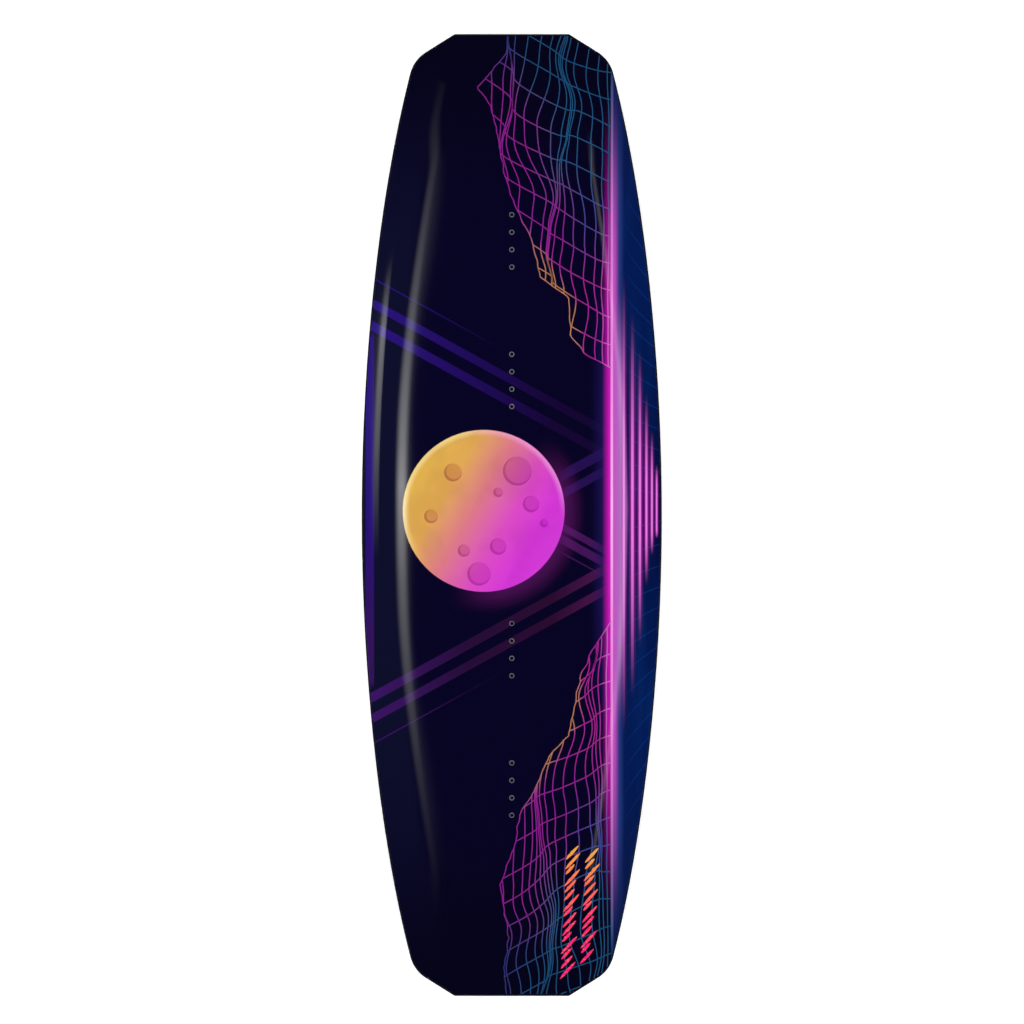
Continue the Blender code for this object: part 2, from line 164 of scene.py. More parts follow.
def arc(centre, radius, start, end, steps):
    first = math.atan2(start.y, start.x)
    last = math.atan2(end.y, end.x)
    angles = [first + (last - first) * i / steps for i in range(steps + 1)]
    return [centre + radius * Vector((math.cos(a), math.sin(a))) for a in angles]


CHAMFER_NORMAL = Vector((1.0, CHAMFER_RUN)).normalized()
CHAMFER_ALONG = Vector((-CHAMFER_RUN, 1.0)).normalized()
TIP_CORNER = Vector((TIP_FLAT, LENGTH / 2))
TIP_NORMAL = Vector((0.0, 1.0))


def side_rows(inset):
    """Points along the side curve, up to where the corner of this inset starts."""
    normal = side_point(SIDE_END, 0.0)[1]
    end = corner_arc(inset)[0].y + inset * normal.y
    return [side_point(end * (i + 0.5) / SIDE_STEPS, inset)[0] for i in range(SIDE_STEPS)]


def corner_arc(inset):
    """The big corner between the side curve and the chamfer."""
    start, normal = side_point(SIDE_END, 0.0)
    cosine = normal.dot(CHAMFER_NORMAL)
    radius = CHAMFER_NORMAL.dot(TIP_CORNER - start) / (1 - cosine)
    centre = start - radius * normal
    inner_radius = max(radius - inset, INNER_CORNER_RADIUS)
    centre -= (inset + inner_radius - radius) * (normal + CHAMFER_NORMAL) / (1 + cosine)
    return arc(centre, inner_radius, normal, CHAMFER_NORMAL, CORNER_STEPS)


def tip_arc(inset):
    """The small corner between the chamfer and the tip edge."""
    reach = (inset + TIP_CORNER_RADIUS) / (1 + CHAMFER_NORMAL.dot(TIP_NORMAL))
    centre = TIP_CORNER - reach * (CHAMFER_NORMAL + TIP_NORMAL)
    return arc(centre, TIP_CORNER_RADIUS, CHAMFER_NORMAL, TIP_NORMAL, TIP_CORNER_STEPS)


def between(start, end, steps):
    """Evenly spaced points between two points, without the two."""
    return [start.lerp(end, i / steps) for i in range(1, steps)]


def mirrored_along(quarter):
    return [Vector((p.x, -p.y)) for p in reversed(quarter)] + quarter


def sheet_edge(inset):
    """The right-hand half of the outline, from the tail's tip edge to the nose's."""
    corner, tip = corner_arc(inset), tip_arc(inset)
    chamfer = between(corner[-1], tip[0], CHAMFER_STEPS)
    return mirrored_along(side_rows(inset) + corner + chamfer + tip)


def sidewall_edge(inset):
    """The stretch of the outline that the right side rail follows."""
    corner = corner_arc(inset)
    end = corner[-1] + (RAIL_SPLIT - GAP / 2) * CHAMFER_ALONG
    return mirrored_along(side_rows(inset) + corner + [end])


def tip_edge(inset):
    """The stretch of the outline that the nose's tip block follows, from right to left."""
    start = corner_arc(inset)[-1] + (RAIL_SPLIT + GAP / 2) * CHAMFER_ALONG
    tip = tip_arc(inset)
    right = [start] + between(start, tip[0], CHAMFER_STEPS) + tip
    return right + [Vector((-p.x, p.y)) for p in reversed(right)]


def inset_of(x, y):
    """How far a point of the plan lies inside the outline."""
    x, y = abs(x), abs(y)
    half_width, slope = side_curve(y)
    side = (half_width - x) / math.hypot(1.0, slope)
    chamfer = CHAMFER_NORMAL.dot(TIP_CORNER - Vector((x, y)))
    return min(side, chamfer, LENGTH / 2 - y)


# ---- mesh helpers


def add_object(name, data):
    thing = bpy.data.objects.new(name, data)
    bpy.context.scene.collection.objects.link(thing)
    return thing


def add_piece(name, data, material, replaced, place=None):
    """A shown piece that rides on the board and stands for CAD nodes."""
    thing = add_object(name, data)
    if place is not None:
        thing.location, thing.rotation_euler = place.to_translation(), place.to_euler()
    if not data.materials:
        data.materials.append(material)
    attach(thing, "root")
    if replaced:
        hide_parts(*replaced)


def shade(data):
    data.shade_smooth()
    data.set_sharp_from_angle(angle=SHARP_ANGLE)
    return data


def finish_mesh(name, mesh):
    bmesh.ops.recalc_face_normals(mesh, faces=mesh.faces)
    data = bpy.data.meshes.new(name)
    mesh.to_mesh(data)
    mesh.free()
    return shade(data)


def join_rings(mesh, rings):
    for ring, following in zip(rings, rings[1:]):
        for i in range(len(ring)):
            j = (i + 1) % len(ring)
            mesh.faces.new((ring[i], ring[j], following[j], following[i]))


def fill_rings(mesh, rings):
    join_rings(mesh, rings)
    mesh.faces.new(rings[0])
    mesh.faces.new(rings[-1])


def quarter_turn(steps):
    """Sine and cosine at even steps through a quarter turn."""
    angles = [math.pi / 2 * i / steps for i in range(steps + 1)]
    return [(math.sin(angle), math.cos(angle)) for angle in angles]


def loft(name, rings):
    """A solid through rings of points, with a flat face on each end."""
    mesh = bmesh.new()
    fill_rings(mesh, [[mesh.verts.new(point) for point in ring] for ring in rings])
    return finish_mesh(name, mesh)


def sweep(edge, section):
    """The points of a section of (inset, surface) pairs at each step along an edge of the board."""
    for row in zip(*(edge(inset) for inset, _ in section)):
        yield [(p.x, p.y, surface(p.y, inset)) for p, (inset, surface) in zip(row, section)]


def layer(name, section):
    """A sheet over the whole board. Its section runs from the top's middle outwards and back to the middle
    underneath. The sheet is straight between its two innermost columns."""
    mesh = bmesh.new()
    rings = []
    for right in sweep(sheet_edge, section):
        left = [(-x, y, z) for x, y, z in reversed(right)]
        rings.append([mesh.verts.new(point) for point in right + left])
    join_rings(mesh, rings)
    last = 2 * len(section) - 1
    for ring in (rings[0], rings[-1]):
        for i in range(len(section) - 1):
            mesh.faces.new((ring[i], ring[i + 1], ring[last - i - 1], ring[last - i]))
    return finish_mesh(name, mesh)


def lathe(name, profile, around=AROUND):
    """A solid of revolution about Z. The profile runs from pole to pole as (radius, height) points, where a
    radius may be a function of the angle, and the first and last radius are 0."""
    mesh = bmesh.new()
    rings = []
    for radius, height in profile[1:-1]:
        ring = []
        for i in range(around):
            angle = 2 * math.pi * i / around
            r = radius(angle) if callable(radius) else radius
            ring.append(mesh.verts.new((r * math.cos(angle), r * math.sin(angle), height)))
        rings.append(ring)
    join_rings(mesh, rings)
    for ring, (_, height) in ((rings[0], profile[0]), (rings[-1], profile[-1])):
        pole = mesh.verts.new((0.0, 0.0, height))
        for i in range(around):
            mesh.faces.new((pole, ring[i], ring[(i + 1) % around]))
    return finish_mesh(name, mesh)


def drill(name, radius, top, bottom=-0.004):
    """A plain cylinder, to cut a hole with."""
    return lathe(name, [(0, top), (radius, top), (radius, bottom), (0, bottom)])


def thread(minor, major, pitch, top, bottom):
    """Profile points of a screw thread from a height down to a lower one."""
    points = []
    count = round((top - bottom) / pitch * THREAD_STEPS)
    for i in range(count + 1):
        height = top + (bottom - top) * i / count

        def radius(angle, height=height):
            turn = (height / pitch + angle / (2 * math.pi)) % 1.0
            return minor + (major - minor) * (1.0 - abs(2.0 * turn - 1.0))

        points.append((radius, height))
    return points


def boolean(data, cutters, operation="DIFFERENCE"):
    """A mesh with other meshes, given with their places, cut from it or joined to it."""
    body = add_object("body", data)
    tools = []
    for mesh, matrix in cutters:
        tool = add_object("tool", mesh)
        tool.matrix_world = matrix
        tools.append(tool)
        modifier = body.modifiers.new("cut", "BOOLEAN")
        modifier.operation = operation
        modifier.object = tool
    bpy.context.view_layer.update()
    evaluated = body.evaluated_get(bpy.context.evaluated_depsgraph_get())
    result = bpy.data.meshes.new_from_object(evaluated)
    result.name = data.name
    for thing in [body, *tools]:
        bpy.data.objects.remove(thing)
    return shade(result)


# ---- shader helpers


def linear(colour):
    """A colour given as three sRGB bytes, as linear values."""
    shares = [c / 255 for c in colour]
    return [c / 12.92 if c <= 0.04045 else ((c + 0.055) / 1.055) ** 2.4 for c in shares]


def plug(tree, socket, value):
    """Links a Term or a socket to an input, or sets the input's own value."""
    if isinstance(value, Term):
        value = value.socket
    if isinstance(value, bpy.types.NodeSocket):
        tree.links.new(value, socket)
    elif hasattr(value, "__len__") and len(value) == 3 and socket.type == "RGBA":
        socket.default_value = (*value, 1.0)
    else:
        socket.default_value = value


def add_node(tree, kind, inputs=None, **settings):
    node = tree.nodes.new(kind)
    for key, value in settings.items():
        setattr(node, key, value)
    for key, value in (inputs or {}).items():
        plug(tree, node.inputs[key], value)
    return node


def parts(tree, vector):
    """The X, Y and Z of a vector socket, as Terms."""
    return [Term(tree, output) for output in add_node(tree, "ShaderNodeSeparateXYZ", {0: vector}).outputs]


class Term:
    """A number that varies over a surface. Arithmetic on it adds Math nodes to its material."""

    def __init__(self, tree, socket):
        self.tree = tree
        self.socket = socket

    def calculate(self, operation, *others):
        inputs = dict(enumerate((self, *others)))
        return Term(self.tree, add_node(self.tree, "ShaderNodeMath", inputs, operation=operation).outputs[0])

    def __add__(self, other):
        return self.calculate("ADD", other)

    def __sub__(self, other):
        return self.calculate("SUBTRACT", other)

    def __mul__(self, other):
        return self.calculate("MULTIPLY", other)

    def __rsub__(self, other):
        return self.calculate("MULTIPLY_ADD", -1.0, other)

    def __abs__(self):
        return self.calculate("ABSOLUTE")

    def most(self, other):
        return self.calculate("MAXIMUM", other)

    def repeat(self, period):
        """Distance to the nearest whole multiple of a period."""
        return abs(self.calculate("WRAP", period / 2, -period / 2))

    def fade(self, start, end):
        """0 at start and 1 at end, with soft ends."""
        inputs = {"Value": self, "From Min": start, "From Max": end}
        node = add_node(self.tree, "ShaderNodeMapRange", inputs, interpolation_type="SMOOTHSTEP")
        return Term(self.tree, node.outputs["Result"])

    def ramp(self, stops):
        """A colour that changes along the number, through (position, colour) stops."""
        node = add_node(self.tree, "ShaderNodeValToRGB", {"Fac": self})
        elements = node.color_ramp.elements
        while len(elements) < len(stops):
            elements.new(0.5)
        for element, (position, colour) in zip(elements, stops):
            element.position = position
            element.color = (*linear(colour), 1.0)
        return node.outputs["Color"]


class Surface:
    """A material under construction: its tree, its shader, and the place on the object in millimetres."""

    def __init__(self, name):
        self.material = bpy.data.materials.new(name)
        self.material.use_nodes = True
        self.tree = self.material.node_tree
        self.shader = self.tree.nodes["Principled BSDF"]
        metres = add_node(self.tree, "ShaderNodeTexCoord").outputs["Object"]
        self.place = self.scaled(metres, (1 / MM, 1 / MM, 1 / MM))
        self.x, self.y, _ = parts(self.tree, self.place)

    def set(self, socket, value):
        """Sets or links one of the shader's inputs."""
        plug(self.tree, self.shader.inputs[socket], value)

    def scaled(self, vector, scale):
        return add_node(self.tree, "ShaderNodeMapping", {"Vector": vector, "Scale": scale}).outputs["Vector"]

    def paint(self, colour):
        """The first coat."""
        self.colour = linear(colour) if isinstance(colour, tuple) else colour

    def lay(self, mask, colour, blend="MIX"):
        """Another coat where the mask is 1."""
        inputs = {0: mask, 6: self.colour, 7: linear(colour) if isinstance(colour, tuple) else colour}
        settings = {"data_type": "RGBA", "blend_type": blend, "clamp_factor": True}
        self.colour = add_node(self.tree, "ShaderNodeMix", inputs, **settings).outputs[2]

    def noise(self, scale, detail=3.0, stretch=(1, 1, 1)):
        inputs = {"Vector": self.scaled(self.place, stretch), "Scale": scale, "Detail": detail}
        return Term(self.tree, add_node(self.tree, "ShaderNodeTexNoise", inputs).outputs["Fac"])

    def away(self, x, y):
        """Distance in the plan from a point."""
        flat = add_node(self.tree, "ShaderNodeCombineXYZ", {0: self.x - x, 1: self.y - y})
        length = add_node(self.tree, "ShaderNodeVectorMath", {0: flat.outputs[0]}, operation="LENGTH")
        return Term(self.tree, length.outputs["Value"])

    def off_line(self, x, y, slope):
        """Distance to the upper side of a line through a point with a slope."""
        long = math.hypot(1.0, slope)
        return (self.y - y) * (1 / long) - (self.x - x) * (slope / long)

    def bump(self, height, strength, distance):
        inputs = {"Height": height, "Strength": strength, "Distance": distance}
        self.set("Normal", add_node(self.tree, "ShaderNodeBump", inputs).outputs["Normal"])

    def done(self):
        self.set("Base Color", self.colour)
        return self.material


# ---- deck print
#
# The numbers in this section are millimetres on the plan, colours in sRGB bytes, and shares of a coat.

# Night sky
NIGHT = (7, 4, 36)
NIGHT_TIP = (6, 4, 26)
# Painted sheen: a lighter, greyer navy laid over the left bevel, where the strip lights' reflection falls
LEFT_BEVEL_SHEEN = (13, 14, 42)

# Light beams behind the moon: (x, y, half width), each a line through a point
BEAM_SLOPE = 0.55
FALLING_BEAMS = [(-200, 307, 6.0), (-200, 274, 6.5)]
FALLING_THREAD = (-200, 344, 1.0)
RISING_BEAMS = [(-200, -264, 6.5), (-200, -295, 6.0)]
RISING_THREAD = (-200, -332, 1.0)
RIGHT_RISING = [(74, 58, 7.0), (80, 34, 6.0)]
RIGHT_FALLING = [(80, -21, 5.0), (74, -36, 6.0)]
RIGHT_THREAD = (71, -54, 1.0)

# Moon
MOON_X, MOON_Y, MOON_RADIUS = -41, 6, 118
CRATERS = [
    (8, 64, 21), (-20, 33, 7), (28, 16, 12), (47, -12, 6), (-118, -2, 10),
    (-86, 62, 13), (-70, -52, 9), (-20, -46, 12), (-48, -86, 17),
]

# Neon horizon along the right side, the floor beyond it and its streaks: (x, half width, nose end, tail end)
HORIZON_X = 146.0
STREAKS = [
    (163.5, 1.6, 345, -335), (176.0, 1.9, 290, -280), (187.0, 1.7, 235, -205),
    (196.5, 1.5, 170, -115), (204.5, 1.3, 115, -70), (211.5, 1.1, 65, -45),
]


def stripes(surface, lines, slope):
    """1 on the lines, each given as a point that it runs through and its half width."""
    mask = None
    for x, y, half in lines:
        line = abs(surface.off_line(x, y, slope)).fade(half + 0.5, half - 0.5)
        mask = line if mask is None else mask.most(line)
    return mask


def print_sky(deck):
    x, y = deck.x, deck.y
    deck.paint(NIGHT)
    deck.lay(abs(y).fade(380, 690), NIGHT_TIP)
    from_left = x + 219 - y * y * 0.00016
    # Painted sheen on the left bevel, from the edge in to the bevel's break, fading towards the tips
    deck.lay(from_left.fade(66, 44) * abs(y).fade(690, 340), LEFT_BEVEL_SHEEN)


def print_beams(deck):
    """Two sets of crossing beams that fade to the right, and a band along the left edge."""
    x, y = deck.x, deck.y
    across = x.calculate("MULTIPLY_ADD", 1 / 360, 210 / 360)
    falling = [(0.0, (44, 20, 128)), (0.35, (34, 13, 96)), (0.75, (22, 6, 52)), (1.0, (18, 8, 48))]
    rising = [(0.0, (62, 22, 104)), (0.4, (40, 14, 58)), (0.75, (44, 12, 48)), (1.0, (80, 24, 84))]
    for beams, line, slope, colours in (
        (FALLING_BEAMS, FALLING_THREAD, -BEAM_SLOPE, falling),
        (RISING_BEAMS, RISING_THREAD, BEAM_SLOPE, rising),
    ):
        deck.lay(stripes(deck, beams, slope) * 0.92, across.ramp(colours))
        deck.lay(stripes(deck, [line], slope) * x.fade(20, -150) * 0.8, across.ramp(colours))
    edge = x.fade(-200.5, -201.5) * x.fade(-214.2, -212.8) * abs(y - 8).fade(262, 250)
    edge_colours = [(0.17, (50, 20, 88)), (0.5, (38, 15, 116)), (0.94, (38, 13, 117))]
    deck.lay(edge, y.calculate("MULTIPLY_ADD", 1 / 560, 0.5).ramp(edge_colours))
    for beams, slope, share, colour in (
        (RIGHT_RISING, BEAM_SLOPE, 0.5, (52, 24, 104)),
        (RIGHT_FALLING, -BEAM_SLOPE, 0.5, (92, 30, 112)),
        ([RIGHT_THREAD], -BEAM_SLOPE, 0.45, (80, 30, 100)),
    ):
        deck.lay(stripes(deck, beams, slope) * x.fade(60, 90) * share, colour)


def print_moon(deck):
    x, y = deck.x, deck.y
    far = deck.away(MOON_X, MOON_Y)
    lit = (x - MOON_X) * (0.86 / MOON_RADIUS) - (y - MOON_Y) * (0.50 / MOON_RADIUS)
    halo = far.fade(MOON_RADIUS + 34, MOON_RADIUS - 6) * lit.fade(0.1, 0.8)
    deck.lay(halo * 0.3, (128, 34, 128), "ADD")
    disc = far.fade(MOON_RADIUS + 0.6, MOON_RADIUS - 0.6)
    deck.lay(disc, lit.calculate("MULTIPLY_ADD", 0.5, 0.5).ramp([
        (0.0, (222, 176, 76)), (0.24, (224, 168, 84)), (0.44, (220, 121, 134)),
        (0.66, (220, 76, 196)), (0.85, (214, 56, 217)), (1.0, (218, 62, 222)),
    ]))
    rim = far.fade(MOON_RADIUS - 10, MOON_RADIUS - 1) * disc
    deck.lay(rim * lit.fade(-0.3, -0.8) * 0.75, (246, 222, 150))
    deck.lay(rim * (x + y * 1.2).fade(60, 150) * 0.55, (250, 170, 232))
    patches = deck.noise(0.018, 2.0).fade(0.42, 0.66) * disc
    deck.lay(patches * 0.10, (120, 40, 96), "MULTIPLY")
    for crater_x, crater_y, radius in CRATERS:
        distance = deck.away(crater_x, crater_y)
        inside = distance.fade(radius + 0.5, radius - 0.5) * disc
        shade = deck.away(crater_x + 1.6, crater_y + 1.6).fade(radius - 2.6, radius - 1.0) * inside
        deck.lay(inside * 0.9, (236, 214, 236), "MULTIPLY")
        deck.lay(shade * 0.8, (222, 196, 222), "MULTIPLY")


def print_floor(deck):
    """The floor beyond the horizon, with a faint grid that runs away from the middle."""
    x, y = deck.x, deck.y
    beyond = x.fade(HORIZON_X - 0.8, HORIZON_X + 0.8)
    length = abs(y - 10)
    deck.lay(beyond, (length * (1 / 700)).ramp([
        (0.0, (8, 8, 62)), (0.18, (3, 22, 74)), (0.5, (3, 27, 84)), (0.85, (10, 24, 72)), (1.0, (8, 8, 34)),
    ]))
    deck.lay(beyond * deck.noise(0.05, 2.0, (1, 0.12, 1)).fade(0.45, 0.7) * 0.35, (6, 44, 108))
    lean = (x - HORIZON_X) * length.fade(0, 420).calculate("MULTIPLY_ADD", 1.25, 0.25)
    diagonal = (length + lean).repeat(37.0).fade(1.3, 0.4)
    deck.lay(diagonal * beyond * x.fade(158, 186) * length.fade(560, 380) * 0.42, (14, 62, 150))
    deck.lay(beyond * x.fade(205, 219) * 0.5, (4, 10, 52))


def print_neon(deck):
    """The glowing line of the horizon, the lilac sheen right of it and the streaks on the floor."""
    x, y = deck.x, deck.y
    length = abs(y - 10)
    for left, right, reach, share, colour in (
        ((112, 140), (147, 146), (420, 120), 0.75, (30, 22, 92)),
        ((131, 143), (147.5, 146.5), (600, 300), 0.95, (196, 22, 176)),
        ((139, 145), (147.5, 146.5), (300, 60), 0.7, (232, 30, 214)),
        ((146, 150), (165, 156), (640, 420), 0.9, (40, 58, 128)),
    ):
        deck.lay(x.fade(*left) * x.fade(*right) * length.fade(*reach) * share, colour)
    sheen = x.fade(145.5, 147.0) * (x - length * -0.03).fade(172, 164)
    deck.lay(sheen * length.fade(330, 160) * 0.9, (186, 112, 196))
    near = x.fade(146, 147) * x.fade(157, 149)
    deck.lay(near * length.fade(620, 300) * 0.94, (200, 82, 198))
    for streak_x, half, nose_end, tail_end in STREAKS:
        reach = y.fade(nose_end + 10, 40) * y.fade(tail_end + 10, -20)
        halo = abs(x - streak_x).fade(half * 3.4, half * 0.6)
        core = abs(x - streak_x).fade(half + 0.5, half - 0.6)
        deck.lay(halo * reach * 0.75, (170, 36, 168))
        deck.lay(core * reach * 0.92, (238, 128, 230))
    core = abs(x - HORIZON_X).fade(2.6, 0.8)
    deck.lay(core * length.fade(690, 600) * 0.9, (length * (1 / 700)).ramp([
        (0.0, (255, 196, 244)), (0.25, (246, 156, 236)), (0.6, (216, 130, 212)),
        (0.78, (124, 104, 170)), (0.9, (44, 78, 128)), (1.0, (18, 36, 76)),
    ]))


def deck_material():
    deck = Surface("deck print")
    print_sky(deck)
    print_beams(deck)
    print_floor(deck)
    print_moon(deck)
    print_neon(deck)
    deck.bump(deck.noise(0.35, 1.0), 0.03, 0.0003)
    deck.set("Roughness", deck.noise(0.02, 4.0, (1, 0.35, 1)) * 0.03 + 0.035)
    return deck.done()


# Roughness of the ribbons of print
PRINT_ROUGHNESS = 0.12


def wire_material():
    """Printed grid lines: blue and teal at the tips, magenta further in, and orange along the inner crest."""
    wire = Surface("grid print")
    wire.set("Roughness", PRINT_ROUGHNESS)
    x, from_middle = wire.x, abs(wire.y)
    length = from_middle - wire.y.fade(40, -40) * 35
    wire.paint((136, 32, 138))
    wire.lay(from_middle.fade(430, 320), (160, 36, 142))
    wire.lay((from_middle - wire.y.fade(-40, 40) * 45).fade(555, 645), (48, 50, 114))
    wire.lay(x.fade(70, 110) * length.fade(330, 440), (64, 66, 144))
    wire.lay(x.fade(18, 74) * length.fade(425, 530), (28, 80, 120))
    wire.lay(x.fade(-10, 30) * length.fade(560, 640), (26, 74, 114))
    crest = (from_middle * -0.634 + 290).calculate("MINIMUM", 100)
    wire.lay((x - crest).fade(8, -8) * from_middle.fade(470, 340), (176, 118, 84))
    wire.lay(x.fade(126, 143) * from_middle.fade(520, 260) * 0.8, (214, 120, 206))
    return wire.done()


def dash_material():
    """Dashes that turn from pink to orange towards the middle of the board, with a few lighter streaks."""
    dash = Surface("dash print")
    dash.set("Roughness", PRINT_ROUGHNESS)
    dash.paint(dash.y.calculate("MULTIPLY_ADD", 1 / 200, 3.44).ramp([
        (0.0, (252, 20, 122)), (0.50, (252, 42, 112)), (0.80, (252, 116, 80)), (1.0, (248, 170, 70)),
    ]))
    brushed = dash.noise(0.5, 3.0, (0.3, 1, 1))
    dash.lay(brushed.fade(0.5, 0.66) * 0.32, (250, 176, 84))
    return dash.done()


# ---- wire terrain

# Each range, in mm: sign along Y, and how tall it stands off the horizon at places along the board
RANGES = {
    "nose": (1, [(214, 0), (236, 40), (262, 60), (318, 63), (346, 104), (402, 117), (452, 142),
                 (502, 158), (556, 167), (598, 178), (622, 196), (650, 172), (672, 154), (712, 150)]),
    "tail": (-1, [(154, 0), (196, 28), (236, 46), (322, 63), (352, 92), (402, 113), (436, 134),
                  (476, 140), (540, 163), (580, 156), (616, 150), (660, 158), (712, 152)]),
}
SEEDS = {"nose": 11.0, "tail": 27.0}

# The net, in mm: the spacing of its lines, its folds, the shortest line that is drawn, and the stretch that
# its lines are worked out over before they are cut to the range
CROSS_PITCH = 39.6
CROSS_STARTS = {"nose": 209.0, "tail": 163.0}
CONTOUR_PITCHES = {"nose": 10.6, "tail": 9.0}
FOLD_PERIOD = 88.0
FOLD_DEPTH = 12.0
SHORTEST_RUN = 22.0
TALLEST = 230.0
FIRST_RISE = 5.0
LEAN_ROOM = 300.0
FAR_END = 740.0
WIRE_STEP = 3.5
CROSS_STEP = 2.8
CROSS_POINTS = 85
WIRE_HALF_WIDTH = 0.8

# In metres: bare deck left at the edge, and how far the ribbons stand out of the deck and reach into it
WIRE_MARGIN = 0.0030
WIRE_LIFT = 0.00006
WIRE_DEPTH = 0.00015


def silhouette(peaks, length):
    """Height of a range at a distance from the middle of the board."""
    for (start, low), (end, high) in zip(peaks, peaks[1:]):
        if start <= length <= end:
            jag = 3.0 * noise.noise(Vector((length / 14, start, 0)))
            return low + (high - low) * (length - start) / (end - start) + jag
    return 0.0


def terrain_point(seed, along, rise):
    """Where a knot of the net lands on the print. The contour lines bunch up in folds that wander."""
    lean = 0.2 + 0.0016 * rise + 0.45 * math.exp(-max(along - 160, 0) / 200) * min(rise / 60, 1.0)
    grown = min(rise / 40, 1.0)
    where = Vector((along / 120, rise / 90, seed))
    wander = 2.4 * noise.noise(0.7 * where + Vector((0, 0, 9)))
    fold = FOLD_DEPTH * math.sin(2 * math.pi * rise / FOLD_PERIOD + wander + seed)
    meander = 18 * noise.noise(Vector((along / 75, rise / 200, seed + 3)))
    sideways = grown * (fold + meander + 8 * noise.noise(where) + 2 * noise.noise(2.6 * where))
    lengthwise = grown * (16 * noise.noise(where + Vector((0, 0, 40))) + 0.35 * fold)
    return Vector((HORIZON_X - 1.5 - rise - sideways, along + lean * rise + lengthwise))


def deck_height(deck_tree, spot):
    """Height of the deck over a point of the plan, or None over a hole."""
    hit = deck_tree.ray_cast(Vector((spot.x, spot.y, 1.0)), Vector((0, 0, -1)))[0]
    return None if hit is None or hit.z < rocker(spot.y) + thickness(0.0) - MM else hit.z


def visible_runs(points, peaks, sign, deck_tree):
    """The stretches of a line that lie on the terrain and on the deck, in metres on the plan."""

    def place(point):
        return Vector((point.x, sign * point.y)) * MM

    def on_print(point):
        spot = place(point)
        return (
            HORIZON_X - silhouette(peaks, point.y) - 0.5 <= point.x < HORIZON_X - 1.0
            and inset_of(spot.x, spot.y) > WIRE_MARGIN
            and deck_height(deck_tree, spot) is not None
        )

    def border(inner, outer):
        """The last point on the print on the way out."""
        for _ in range(7):
            middle = (inner + outer) / 2
            if on_print(middle):
                inner = middle
            else:
                outer = middle
        return inner

    runs, run = [], []
    before = None
    for point in points:
        if on_print(point):
            if not run and before is not None:
                run.append(border(point, before))
            run.append(point)
        elif run:
            run.append(border(run[-1], point))
            runs.append(run)
            run = []
        before = point
    runs.append(run)
    long_runs = [r for r in runs if len(r) > 2 and (r[-1] - r[0]).length > SHORTEST_RUN]
    return [[place(point) for point in r] for r in long_runs]


def ribbon(mesh, deck_tree, path, half_widths, lift):
    """A thin closed strip that lies on the deck along a path, with a half width in mm for each point."""
    rings = []
    for i, point in enumerate(path):
        ahead = path[min(i + 1, len(path) - 1)] - path[max(i - 1, 0)]
        side = Vector((-ahead.y, ahead.x)).normalized() * half_widths[i] * MM
        ring = []
        for corner, height in ((-1, -WIRE_DEPTH), (1, -WIRE_DEPTH), (1, lift), (-1, lift)):
            spot = point + corner * side
            level = deck_height(deck_tree, spot) or deck_height(deck_tree, point)
            ring.append(mesh.verts.new((spot.x, spot.y, level + height)))
        rings.append(ring)
    fill_rings(mesh, rings)


def terrain(name, deck_tree, material):
    """The net of a range: its contour lines, the lines across them, and its crest."""
    sign, peaks = RANGES[name]
    seed = SEEDS[name]
    mesh = bmesh.new()
    first = peaks[0][0]
    pitch = CONTOUR_PITCHES[name]
    lines = []
    for row in range(int(TALLEST / pitch) + 1):
        rise = pitch * row + FIRST_RISE
        steps = int((FAR_END - first + LEAN_ROOM) / WIRE_STEP)
        points = [terrain_point(seed, first - LEAN_ROOM + WIRE_STEP * i, rise) for i in range(steps)]
        lines.append((points, 2 * WIRE_LIFT))
    for column in range(-4, int((FAR_END - first) / CROSS_PITCH) + 1):
        along = CROSS_STARTS[name] + CROSS_PITCH * column
        points = [terrain_point(seed, along, CROSS_STEP * i) for i in range(CROSS_POINTS)]
        lines.append((points, WIRE_LIFT))
    places = [first + WIRE_STEP * i for i in range(int((FAR_END - first) / WIRE_STEP))]
    crest = [Vector((HORIZON_X - silhouette(peaks, place), place)) for place in places]
    lines.append((crest, 3 * WIRE_LIFT))
    for points, lift in lines:
        for run in visible_runs(points, peaks, sign, deck_tree):
            ribbon(mesh, deck_tree, run, [WIRE_HALF_WIDTH] * len(run), lift)
    add_piece(f"{name}_grid_print", finish_mesh(f"{name}_grid_print", mesh), material, [])


# Two columns of slanting dashes over the tail's terrain: (x, first y, count), in mm
DASH_COLUMNS = [(88, -492, 15), (116, -496, 13)]
DASH_PITCH = 12.2
DASH_HALF_LENGTH = 13.5
DASH_HALF_WIDTH = 2.1
DASH_SLANT = Vector((1.0, 1.1)).normalized()


def make_dashes(deck_tree, material):
    """Brush dashes of uneven length that all lean the same way. They stand for no sign."""
    mesh = bmesh.new()
    steps = 16
    for x, first, count in DASH_COLUMNS:
        for number in range(count):
            uneven = math.sin(2.4 * number + x)
            middle = Vector((x - 0.6 * number + 2 * uneven, first - DASH_PITCH * number))
            path, widths = [], []
            for i in range(steps + 1):
                share = i / steps
                rough = noise.noise(Vector((7 * share, number, x)))
                along = (2 * share - 1) * (DASH_HALF_LENGTH + 4 * uneven)
                path.append((middle + along * DASH_SLANT + Vector((0, rough))) * MM)
                widths.append(DASH_HALF_WIDTH * (share * (1 - share) * 4 + 0.02) ** 0.6 * (1 + 0.4 * rough))
            ribbon(mesh, deck_tree, path, widths, 4 * WIRE_LIFT)
    add_piece("slanting_dashes", finish_mesh("slanting_dashes", mesh), material, [])


# ---- the sandwich


